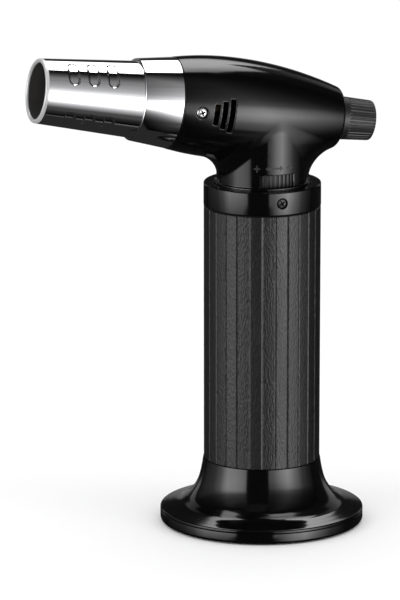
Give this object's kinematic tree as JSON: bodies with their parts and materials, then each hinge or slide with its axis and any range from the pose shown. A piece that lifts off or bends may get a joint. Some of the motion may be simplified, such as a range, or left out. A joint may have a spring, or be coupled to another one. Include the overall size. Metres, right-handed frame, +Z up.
{
  "type": "butane torch",
  "caption": "Upright bench torch with a round weighted foot, a ribbed fuel-tank grip, a tilted head with a tapered nozzle, a gas flow wheel in the neck and a push-button igniter",
  "frame": {"origin": "The centre of the foot's underside, on the tank axis, on the surface that the torch stands on", "axes": "+Z is up along the tank axis, the nozzle points along -X and upward by 8.6 degrees, and -Y is the side with the gas flow window"},
  "size_m": [0.129, 0.0738, 0.1758],
  "materials": {
    "gloss_black": "smooth, high gloss",
    "matte_grip": "matt, fine texture",
    "dark_grey": "satin",
    "chrome": "mirror polish",
    "brass": "turned",
    "bright_steel": "bright zinc plate",
    "black_steel": "black oxide",
    "burner_steel": "heat-dulled",
    "rubber": "matt",
    "tank_plastic": "smooth, natural",
    "white_ceramic": "glazed",
    "wick": "woven fibre",
    "hose": "braided",
    "lead_red": "smooth sleeve",
    "spring_steel": "bright wire",
    "piezo_case": "moulded"
  },
  "bodies": {
    "torch": {"base_rim": "gloss_black", "anti_slip_ring": "rubber", "base_screws": "bright_steel", "foot_shell": "gloss_black", "foot_screws": "bright_steel", "tank_bottom_cap": "tank_plastic", "cap_o_ring": "rubber", "refill_valve_body": "brass", "refill_o_ring": "rubber", "refill_spring": "spring_steel", "fuel_tank": "tank_plastic", "fuel_wick": "wick", "grip_sleeve": "matte_grip", "collar_ring": "gloss_black", "collar_screws": "black_steel", "valve_body": "brass", "valve_o_ring": "rubber", "outlet_stem": "brass", "gas_hose": "hose", "jet_block": "brass", "gas_jet": "brass", "mixing_tube": "brass", "burner_base": "brass", "burner_tube": "burner_steel", "burner_head": "burner_steel", "spacer_ring": "burner_steel", "nozzle_collar": "chrome", "nozzle_tube": "chrome", "nozzle_screws": "bright_steel", "head_shell_left": "gloss_black", "head_shell_right": "gloss_black", "shell_screws": "black_steel", "electrode_ceramic": "white_ceramic", "electrode_wire": "burner_steel", "piezo_lead": "lead_red", "piezo_igniter": "piezo_case", "return_spring": "spring_steel"},
    "dial": {"flow_dial": "dark_grey", "adjuster_sleeve": "brass"},
    "filler": {"refill_stem": "brass"},
    "button": {"ignition_button": "dark_grey", "piezo_plunger": "dark_grey"}
  },
  "joints": [
    {"name": "flow_dial_turn", "type": "hinge", "parent": "torch", "child": "dial", "pos_m": [0, 0, 0.1291], "axis": [0, 0, -1], "range_deg": [0, 150]},
    {"name": "ignition_press", "type": "slide", "parent": "torch", "child": "button", "axis": [-0.9888, 0, 0.1495], "range_m": [0, 0.005], "stiffness_N_per_m": 2000, "springref_m": -0.002, "deforming": ["return_spring"]},
    {"name": "filler_valve_lift", "type": "slide", "parent": "torch", "child": "filler", "axis": [0, 0, 1], "range_m": [0, 0.0015], "stiffness_N_per_m": 400, "springref_m": -0.001, "deforming": ["refill_spring"]}
  ]
}
